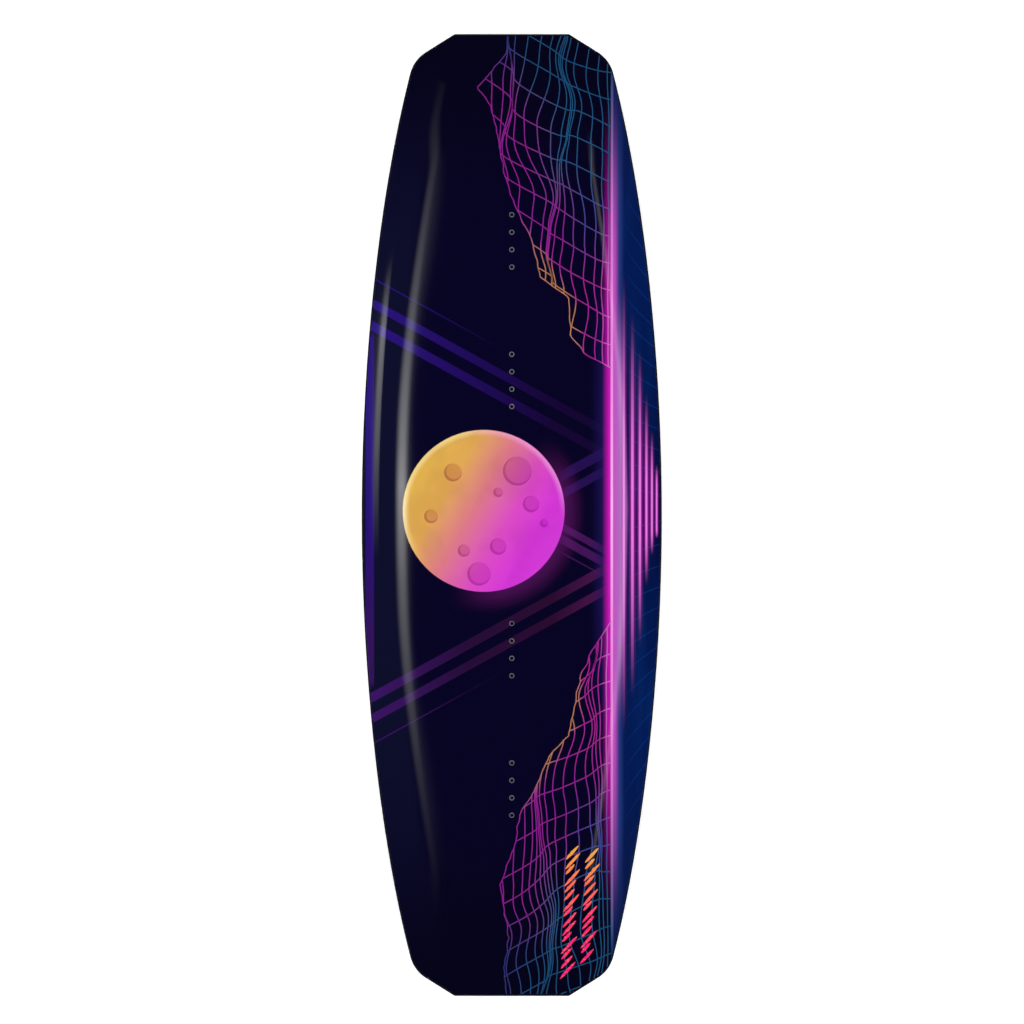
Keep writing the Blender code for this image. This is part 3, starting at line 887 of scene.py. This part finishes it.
def make_deck(materials):
    """The deck sheet. Returns a search tree of its faces, to lay the ribbons of the print on."""
    top = below_deck(0.0)
    section = [(inset * MM, top) for inset in DECK_COLUMNS]
    section += [(SHEET_INSET + EDGE_BREAK, top), (SHEET_INSET, below_deck(EDGE_BREAK))]
    section += [(SHEET_INSET, below_deck(TOPSHEET))]
    section += [(inset * MM, below_deck(TOPSHEET)) for inset in reversed(DECK_COLUMNS)]
    data = layer("deck_sheet", section)
    hole = drill("deck_drill", NECK_RADIUS + GAP / 2, 0.006)
    data = boolean(data, [(hole, matrix) for matrix, _ in insert_places()])
    mesh = bmesh.new()
    mesh.from_mesh(data)
    bmesh.ops.triangulate(mesh, faces=mesh.faces)
    mesh.to_mesh(data)
    tree = BVHTree.FromBMesh(mesh)
    mesh.free()
    add_piece("deck_sheet", data, materials["deck"], ["topsheet"])
    return tree


def make_base(materials):
    section = [(0.030, above_base(BASE_SHEET)), (SHEET_INSET, above_base(BASE_SHEET))]
    section += [(SHEET_INSET, above_base(EDGE_BREAK)), (SHEET_INSET + EDGE_BREAK, above_base(0.0))]
    section += [(0.010, above_base(0.0)), (0.030, above_base(0.0))]
    data = layer("running_base", section)
    hole = drill("base_drill", BASE_HOLE_RADIUS, 0.004)
    data = boolean(data, [(hole, place @ spot) for _, place in fins() for spot in SCREW_SPOTS])
    add_piece("running_base", data, materials["base"], ["base_sheet"])


def rail_section():
    """The section of a rail as (inset, surface) points, with rabbets for both sheets and round corners."""
    lip = SHEET_INSET - GAP
    points = [(RAIL_INNER, above_base(BASE_SHEET + GAP)), (lip, above_base(BASE_SHEET + GAP))]
    for sine, cosine in quarter_turn(6):
        points.append((lip * (1 - sine), above_base(LOW_ROUND_END - LOW_ROUND * cosine)))
    points += [(0.0, above_base(LOW_FACE)), (0.0, below_deck(HIGH_FACE))]
    for sine, cosine in quarter_turn(6):
        points.append((lip * (1 - cosine), below_deck(HIGH_ROUND_END - HIGH_ROUND * sine)))
    points += [(lip, below_deck(TOPSHEET + GAP)), (RAIL_INNER, below_deck(TOPSHEET + GAP))]
    return points


def make_rails(materials):
    section = rail_section()
    for name, edge, x_sign, y_sign, node in (
        ("left_rail", sidewall_edge, -1, 1, "sidewall_left"),
        ("right_rail", sidewall_edge, 1, 1, "sidewall_right"),
        ("nose_spacer", tip_edge, 1, 1, "tip_block_nose"),
        ("tail_spacer", tip_edge, 1, -1, "tip_block_tail"),
    ):
        rings = [[(x * x_sign, y * y_sign, z) for x, y, z in row] for row in sweep(edge, section)]
        add_piece(name, loft(name, rings), materials["rail"], [node])


# ---- binding inserts

INSERT_RADIUS = 0.00425
INSERT_FLANGE_RADIUS = 0.0080
FLANGE_TOP = -0.0055
FLANGE_BOTTOM = -0.0070
INSERT_DEPTH = 0.0120
M6_MINOR = 0.0025
M6_MAJOR = 0.0030
M6_PITCH = 0.0010
MOUTH_RADIUS = 0.0027
NECK_RADIUS = 0.0037
NECK_DEPTH = 0.0011
KNURLS = 16


def insert_places():
    """The place of each binding insert, from its CAD node's box, and the node's name."""
    for name in sorted(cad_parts):
        if name.startswith("binding_insert"):
            low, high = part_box(name)
            guess = (low.y + high.y) / 2
            y = guess - math.copysign(math.sin(rocker_angle(guess)) * INSERT_DEPTH / 2, guess)
            yield placed(0.0, y, rocker(y) + CENTRE_THICKNESS, math.copysign(rocker_angle(y), y)), name


def placed(x, y, z, tilt, spin=0.0):
    return Matrix.Translation((x, y, z)) @ Euler((tilt, 0.0, spin)).to_matrix().to_4x4()


def insert_mesh():
    knurl = lambda radius: lambda angle: radius * (1 + 0.03 * math.cos(KNURLS * angle))
    profile = [
        (0.0, -INSERT_DEPTH),
        (INSERT_RADIUS - 0.0004, -INSERT_DEPTH),
        (INSERT_RADIUS, -INSERT_DEPTH + 0.0004),
        (INSERT_RADIUS, FLANGE_BOTTOM),
        (knurl(INSERT_FLANGE_RADIUS * 0.97), FLANGE_BOTTOM),
        (knurl(INSERT_FLANGE_RADIUS * 0.97), FLANGE_TOP),
        (INSERT_RADIUS, FLANGE_TOP),
        (INSERT_RADIUS, -NECK_DEPTH),
        (NECK_RADIUS, -NECK_DEPTH),
        (NECK_RADIUS, -0.00015),
        (NECK_RADIUS - 0.00015, 0.0),
        (MOUTH_RADIUS, 0.0),
        *thread(M6_MINOR, M6_MAJOR, M6_PITCH, -0.0006, -0.0098),
        (M6_MINOR, -0.0102),
        (0.0, -0.0105),
    ]
    return lathe("threaded_insert", profile)


def make_inserts(materials):
    data = insert_mesh()
    for matrix, node in insert_places():
        name = node.replace("binding_insert", "threaded_insert")
        add_piece(name, data, materials["insert"], [node], matrix)


# ---- fins

FIN_X = 0.112
FIN_Y = 0.585
FIN_HEIGHT = 0.028
FIN_CHORD = 0.060
FIN_THICKNESS = 0.007
FIN_SWEEP = 0.012
FIN_FILLET = 0.0024
FOOT_THICKNESS = 0.0032
FOOT_HALF_WIDTH = 0.008
FOOT_HALF_LENGTH = 0.048
FOOT_ROUND = 0.0010
FIN_SCREW_PITCH = 0.076
SCREW_SHANK = 0.0024
SCREW_ROOT = 0.00205
SCREW_HEAD = 0.0046
SCREW_HEAD_DEPTH = 0.0025
SCREW_SINK = 0.0001
SCREW_LENGTH = 0.0110
SCREW_PITCH = 0.0008
SOCKET_FLATS = 0.0015
SOCKET_DEPTH = 0.0016
FOIL_POINTS = 56
BLADE_SECTIONS = 26
SCREW_SPOTS = [Matrix.Translation((0.0, side * FIN_SCREW_PITCH / 2, 0.0)) for side in (-1, 1)]


def fins():
    """Name and place of each fin. Its own +Z points out of the base and its +Y towards midships."""
    tilt = math.pi + rocker_angle(FIN_Y)
    for end, sign, spin in (("nose", 1, 0.0), ("tail", -1, math.pi)):
        for side, x in (("left", -FIN_X), ("right", FIN_X)):
            yield f"{end}_{side}", placed(x, sign * FIN_Y, rocker(FIN_Y), tilt, spin)


def foil(chord, width, shift, height):
    """A closed streamlined section, thickest ahead of its middle. The leading edge is at +Y."""
    ring = []
    for i in range(FOIL_POINTS):
        angle = 2 * math.pi * i / FOIL_POINTS
        ahead = math.cos(angle)
        ring.append((width / 2 * math.sin(angle) * (0.8 + 0.2 * ahead), chord / 2 * ahead + shift, height))
    return ring


def stadium(grow, height):
    """The foot's outline, with straight sides and round ends, grown or shrunk by an amount."""
    ring = []
    steps = 16
    radius = FOOT_HALF_WIDTH + grow
    for end in (1, -1):
        for i in range(steps + 1):
            angle = math.pi * i / steps
            x = end * radius * math.cos(angle)
            y = end * (FOOT_HALF_LENGTH - FOOT_HALF_WIDTH + radius * math.sin(angle))
            ring.append((x, y, height))
    return ring


def blade_section(share):
    """Chord, thickness and sweep of the blade at a share of the way up it."""
    narrowing = math.sqrt(max(1.0 - (share * math.sin(math.radians(85))) ** 2, 0.0))
    return FIN_CHORD * narrowing**0.6, FIN_THICKNESS * narrowing**0.7, -FIN_SWEEP * share**2


def fin_mesh():
    foot_top = GAP + FOOT_THICKNESS
    rings = [stadium(-EDGE_BREAK, GAP), stadium(0.0, GAP + EDGE_BREAK)]
    for sine, cosine in quarter_turn(5):
        rings.append(stadium(-FOOT_ROUND * (1 - cosine), foot_top - FOOT_ROUND * (1 - sine)))
    foot = loft("fin_foot", rings)
    blade_rings = []
    blade_height = FIN_HEIGHT - foot_top
    for sine, _ in quarter_turn(6):
        grow = 2 * FIN_FILLET * (1 - sine)
        chord, width, shift = blade_section(FIN_FILLET * sine / blade_height)
        blade_rings.append(foil(chord + grow, width + grow, shift, foot_top + FIN_FILLET * sine - 0.00001))
    start = FIN_FILLET / blade_height
    for sine, _ in quarter_turn(BLADE_SECTIONS)[1:]:
        share = start + (1 - start) * sine
        chord, width, shift = blade_section(share)
        blade_rings.append(foil(chord, width, shift, foot_top + blade_height * share))
    blade_rings.insert(0, [(x, y, foot_top - 0.001) for x, y, _ in blade_rings[0]])
    blade = loft("fin_blade", blade_rings)
    data = boolean(foot, [(blade, Matrix.Identity(4))], "UNION")
    slope = (SCREW_HEAD - SCREW_SHANK) / SCREW_HEAD_DEPTH
    reach = 0.001
    countersink = lathe("countersink", [
        (0.0, foot_top + reach),
        (SCREW_HEAD + 0.00015 + slope * reach, foot_top + reach),
        (SCREW_SHANK + GAP, foot_top - SCREW_HEAD_DEPTH),
        (SCREW_SHANK + GAP, -reach),
        (0.0, -reach),
    ], around=48)
    data = boolean(data, [(countersink, spot) for spot in SCREW_SPOTS])
    data.name = "moulded_fin"
    return data


def screw_mesh():
    head_top = GAP + FOOT_THICKNESS - SCREW_SINK

    def hexagon(grow):
        sector = math.pi / 3
        return lambda angle: (SOCKET_FLATS + grow) / math.cos((angle + sector / 2) % sector - sector / 2)

    shank_top = head_top - SCREW_HEAD_DEPTH
    profile = [
        (0.0, head_top - SOCKET_DEPTH - 0.0004),
        (hexagon(-0.0001), head_top - SOCKET_DEPTH),
        (hexagon(0.0), head_top - EDGE_BREAK),
        (hexagon(EDGE_BREAK), head_top),
        (SCREW_HEAD - EDGE_BREAK, head_top),
        (SCREW_HEAD, head_top - EDGE_BREAK),
        (SCREW_SHANK, shank_top),
        *thread(SCREW_ROOT, SCREW_SHANK, SCREW_PITCH, shank_top - 0.0004, head_top - SCREW_LENGTH + 0.0006),
        (SCREW_ROOT - 0.0004, head_top - SCREW_LENGTH),
        (0.0, head_top - SCREW_LENGTH),
    ]
    return lathe("countersunk_screw", profile, around=36)


def make_fins(materials):
    fin, screw = fin_mesh(), screw_mesh()
    for name, place in fins():
        add_piece(f"moulded_fin_{name}", fin, materials["fin"], [f"fin_{name}"], place)
        for i, spot in enumerate(SCREW_SPOTS, 1):
            node, shown = f"fin_screw_{name}_{i}", f"countersunk_screw_{name}_{i}"
            add_piece(shown, screw, materials["steel"], [node], place @ spot)


# ---- other materials


def rail_material():
    rail = Surface("rail plastic")
    grain = rail.noise(1.6, 4.0)
    scratches = rail.noise(0.5, 3.0, (1, 0.05, 1))
    rail.set("Specular IOR Level", 0.015)
    rail.paint((5, 5, 8))
    rail.lay(scratches.fade(0.55, 0.8) * 0.5, (17, 17, 19))
    rail.set("Roughness", grain * 0.18 + 0.56)
    rail.bump(grain, 0.15, 0.0002)
    return rail.done()


def base_material():
    """A sintered base: a night ground with wide slanting bands and the fine lines of its stone finish."""
    base = Surface("sintered base")
    x, y = base.x, base.y
    base.paint((16, 10, 52))
    base.lay(abs(y).fade(360, 700) * 0.8, (9, 6, 34))
    for slope in (0.55, -0.55):
        for offset, half in ((120, 22), (176, 10), (210, 4)):
            for end in (1, -1):
                band = abs(base.off_line(0, end * offset, slope)).fade(half + 0.7, half - 0.7)
                base.lay(band * 0.45, (98, 26, 132))
    finish = base.noise(2.2, 2.0, (1, 0.02, 1))
    base.lay(finish.fade(0.5, 0.75) * 0.10, (70, 60, 120))
    base.set("Roughness", finish * 0.2 + 0.28)
    base.bump(finish, 0.12, 0.0002)
    return base.done()


def fin_material():
    fin = Surface("moulded fin plastic")
    grain = fin.noise(2.4, 4.0)
    fin.paint((23, 23, 26))
    fin.lay(fin.noise(0.9, 5.0).fade(0.5, 0.8) * 0.4, (36, 36, 40))
    fin.set("Roughness", grain * 0.2 + 0.26)
    fin.bump(grain, 0.2, 0.0002)
    return fin.done()


def steel_material():
    steel = Surface("stainless steel")
    steel.set("Metallic", 1.0)
    rings = steel.away(0, 0)
    turned = steel.noise(3.0, 2.0)
    steel.paint((188, 190, 196))
    steel.lay(turned.fade(0.45, 0.8) * 0.4, (150, 152, 160))
    lines = rings.repeat(0.25).fade(0.0, 0.12)
    steel.set("Roughness", lines * 0.12 + turned * 0.15 + 0.16)
    steel.bump(lines, 0.1, 0.00005)
    return steel.done()


def insert_material():
    """Turned stainless steel, with painted shade in the threaded hole: inside its mouth it is painted near
    black and not metallic.
    """
    insert = Surface("threaded insert steel")
    middle = insert.away(0, 0)
    insert.paint((204, 206, 222))
    insert.lay(middle.repeat(0.3).fade(0.0, 0.15) * 0.4, (110, 112, 120))
    # Painted shade: inside the mouth the insert is laid near black and made not metallic, for the dark of the
    # deep threaded hole
    bore_shade = middle.fade(MOUTH_RADIUS / MM + 0.02, MOUTH_RADIUS / MM - 0.12)
    insert.lay(bore_shade, (6, 6, 7))
    insert.set("Metallic", 1.0 - bore_shade)
    insert.set("Roughness", insert.noise(2.0, 2.0) * 0.2 + 0.25)
    return insert.done()


def brass_material():
    brass = Surface("brass")
    brass.set("Metallic", 1.0)
    stain = brass.noise(0.8, 4.0)
    brass.paint((214, 170, 96))
    brass.lay(stain.fade(0.4, 0.75) * 0.5, (168, 122, 62))
    brass.set("Roughness", stain * 0.3 + 0.2)
    return brass.done()


def foam_material():
    """Closed-cell foam: cells as a fine Voronoi pattern with a slight tint between batches."""
    foam = Surface("core foam")
    foam.set("Roughness", 0.9)
    cells = add_node(foam.tree, "ShaderNodeTexVoronoi", {"Vector": foam.place, "Scale": 1.4})
    cell = Term(foam.tree, cells.outputs["Distance"])
    foam.paint((222, 208, 168))
    foam.lay(cell.fade(0.25, 0.6) * 0.5, (186, 168, 124))
    foam.lay(foam.noise(0.01, 2.0).fade(0.4, 0.7) * 0.3, (232, 220, 188))
    foam.bump(cell, 0.5, 0.0004)
    return foam.done()


def glass_material(name, tint, dark):
    """Woven glass in clear resin: two crossing sets of yarns at 2 mm."""
    glass = Surface(name)
    glass.set("Roughness", 0.35)
    warp = glass.x.repeat(2.0).fade(0.1, 0.9)
    weft = glass.y.repeat(2.0).fade(0.1, 0.9)
    over = (glass.x + glass.y).repeat(4.0).fade(0.8, 1.2)
    weave = warp * over + weft * (1.0 - over)
    glass.paint(tint)
    glass.lay(weave * 0.55, dark)
    glass.bump(weave, 0.4, 0.0003)
    return glass.done()


def wood_material():
    wood = Surface("stringer wood")
    wood.set("Roughness", 0.65)
    grain = wood.noise(0.9, 5.0, (1, 0.03, 1))
    pores = wood.noise(3.0, 2.0, (1, 0.02, 1))
    wood.paint((196, 158, 108))
    wood.lay(grain.fade(0.4, 0.7) * 0.8, (150, 108, 64))
    wood.lay(pores.fade(0.62, 0.72) * 0.6, (98, 66, 38))
    wood.bump(grain, 0.3, 0.0003)
    return wood.done()


def make_materials():
    return {
        "deck": deck_material(),
        "wire": wire_material(),
        "dash": dash_material(),
        "base": base_material(),
        "rail": rail_material(),
        "steel": steel_material(),
        "insert": insert_material(),
        "brass": brass_material(),
        "fin": fin_material(),
        "foam": foam_material(),
        "glass": glass_material("glass fibre", (206, 212, 194), (160, 168, 148)),
        "plate": glass_material("insert plate", (176, 186, 142), (128, 140, 96)),
        "wood": wood_material(),
    }


def dress_inner_nodes(materials):
    """The CAD nodes that stay: everything inside the sandwich."""
    kinds = {
        "core": "foam",
        "top_laminate": "glass",
        "bottom_laminate": "glass",
        "stringer": "wood",
        "insert_plate": "plate",
        "fin_insert": "brass",
    }
    for name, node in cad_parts.items():
        for start, kind in kinds.items():
            if name.startswith(start):
                node.data.materials.clear()
                node.data.materials.append(materials[kind])


# ---- studio

FLOOR_SIZE = 120.0
FLOOR_DROP = 0.0004
FLOOR_GLOW = 0.5

# Strength of the light at the horizon, in a ring above it and at the zenith, and between which heights on the
# unit sphere the ring comes in and all light fades out
HORIZON_LIGHT = 1.1
RING_LIGHT = 2.1
ZENITH_LIGHT = 0.01
RING_START = (0.40, 0.56)
RING_END = (0.72, 0.60)

# The strip lights: their height, where their line bends inwards and then back, by distance from the middle,
# how much of their half width is lost in the bend, and where they are dark and full sideways, in half widths
STRIP_HEIGHT = 0.72
BEND = (0.12, 0.34)
BEND_BACK = (0.325, 0.385)
BACK_SHARE = 0.8
NARROWING = 0.3
STRIP_DARK = 1.7
STRIP_FULL = 0.2
WATTS = 4.0

CAMERA_LENS = 500.0
CAMERA_SENSOR = 36.0
CAMERA_FRAME = 1.492
CAMERA_AIM_HEIGHT = 0.05
CAMERA_CLIP = 100.0
CAMERA_OFFSET = Vector((0.0003, 0.0044))


def make_floor():
    """A pale matt floor. Its slight glow keeps it white under the dark zenith."""
    floor = Surface("studio floor")
    floor.set("Roughness", 0.9)
    floor.paint((250, 250, 250))
    floor.set("Emission Color", (1.0, 1.0, 1.0))
    floor.set("Emission Strength", FLOOR_GLOW)
    bpy.ops.mesh.primitive_plane_add(size=FLOOR_SIZE, location=(0, 0, -FLOOR_DROP))
    plane = bpy.context.object
    plane.name = "studio_floor"
    plane.data.materials.append(floor.done())


def make_world():
    """A ring of soft light around a dark zenith, so that the gloss of the deck stays clear from above."""
    world = bpy.data.worlds.new("studio")
    bpy.context.scene.world = world
    world.use_nodes = True
    tree = world.node_tree
    up = parts(tree, add_node(tree, "ShaderNodeTexCoord").outputs["Generated"])[2]
    level = up.fade(*RING_END) * (up.fade(*RING_START) * RING_LIGHT + HORIZON_LIGHT)
    background = tree.nodes["Background"]
    plug(tree, background.inputs["Strength"], level + ZENITH_LIGHT)
    plug(tree, background.inputs["Color"], (1.0, 1.0, 1.0))


def add_strip(name, x, half_width, peak, peak_y, nose_reach, tail_reach, sharpness, bend=0.0):
    """A long light over the board that its gloss shows as a band. It is brightest along a line, which bends
    inwards towards the tips. Its strength falls from the peak to 0 over the reach to each end."""
    width = 2 * (STRIP_DARK * half_width + abs(bend))
    length = nose_reach + tail_reach
    middle = peak_y + (nose_reach - tail_reach) / 2
    data = bpy.data.lights.new(name, "AREA")
    data.shape = "RECTANGLE"
    data.size, data.size_y = width, length
    data.energy = WATTS * peak * width * length
    data.use_nodes = True
    tree = data.node_tree
    across, along, _ = parts(tree, add_node(tree, "ShaderNodeNewGeometry").outputs["Parametric"])
    across = (across - 0.5) * width
    along = (along - 0.5) * length + middle
    out = abs(along)
    line = (out.fade(*BEND) - out.fade(*BEND_BACK) * BACK_SHARE) * bend
    half = out.fade(*BEND) * (-NARROWING * half_width) + half_width
    to_nose = (along - peak_y) * (1 / nose_reach)
    to_tail = (along - peak_y) * (-1 / tail_reach)
    strength = (1.0 - to_nose.most(to_tail)).most(0.0).calculate("POWER", sharpness)
    profile = abs(across - line).fade(half * STRIP_DARK, half * STRIP_FULL) * strength
    plug(tree, tree.nodes["Emission"].inputs["Strength"], profile)
    lamp = add_object(name, data)
    lamp.location = (x, middle, STRIP_HEIGHT)
    lamp.visible_camera = False


def make_lights():
    add_strip("inner_strip", -0.222, 0.045, 4.9, 0.045, 0.430, 0.450, 2.2, 0.074)
    add_strip("outer_strip", -0.455, 0.095, 3.1, 0.212, 0.068, 0.290, 1.5)
    add_strip("right_strip", 0.240, 0.023, 1.6, 0.0, 0.36, 0.36, 0.3, -0.074)


def make_camera():
    data = bpy.data.cameras.new("camera")
    data.lens = CAMERA_LENS
    data.sensor_width = CAMERA_SENSOR
    camera = add_object("camera", data)
    distance = CAMERA_FRAME * CAMERA_LENS / CAMERA_SENSOR
    camera.location = (*CAMERA_OFFSET, distance + CAMERA_AIM_HEIGHT)
    data.clip_end = CAMERA_CLIP
    bpy.context.scene.camera = camera


def main():
    materials = make_materials()
    deck_tree = make_deck(materials)
    make_base(materials)
    make_rails(materials)
    make_inserts(materials)
    make_fins(materials)
    for name in RANGES:
        terrain(name, deck_tree, materials["wire"])
    make_dashes(deck_tree, materials["dash"])
    dress_inner_nodes(materials)
    make_floor()
    make_world()
    make_lights()
    make_camera()
    bpy.context.scene.view_settings.view_transform = "Standard"


main()
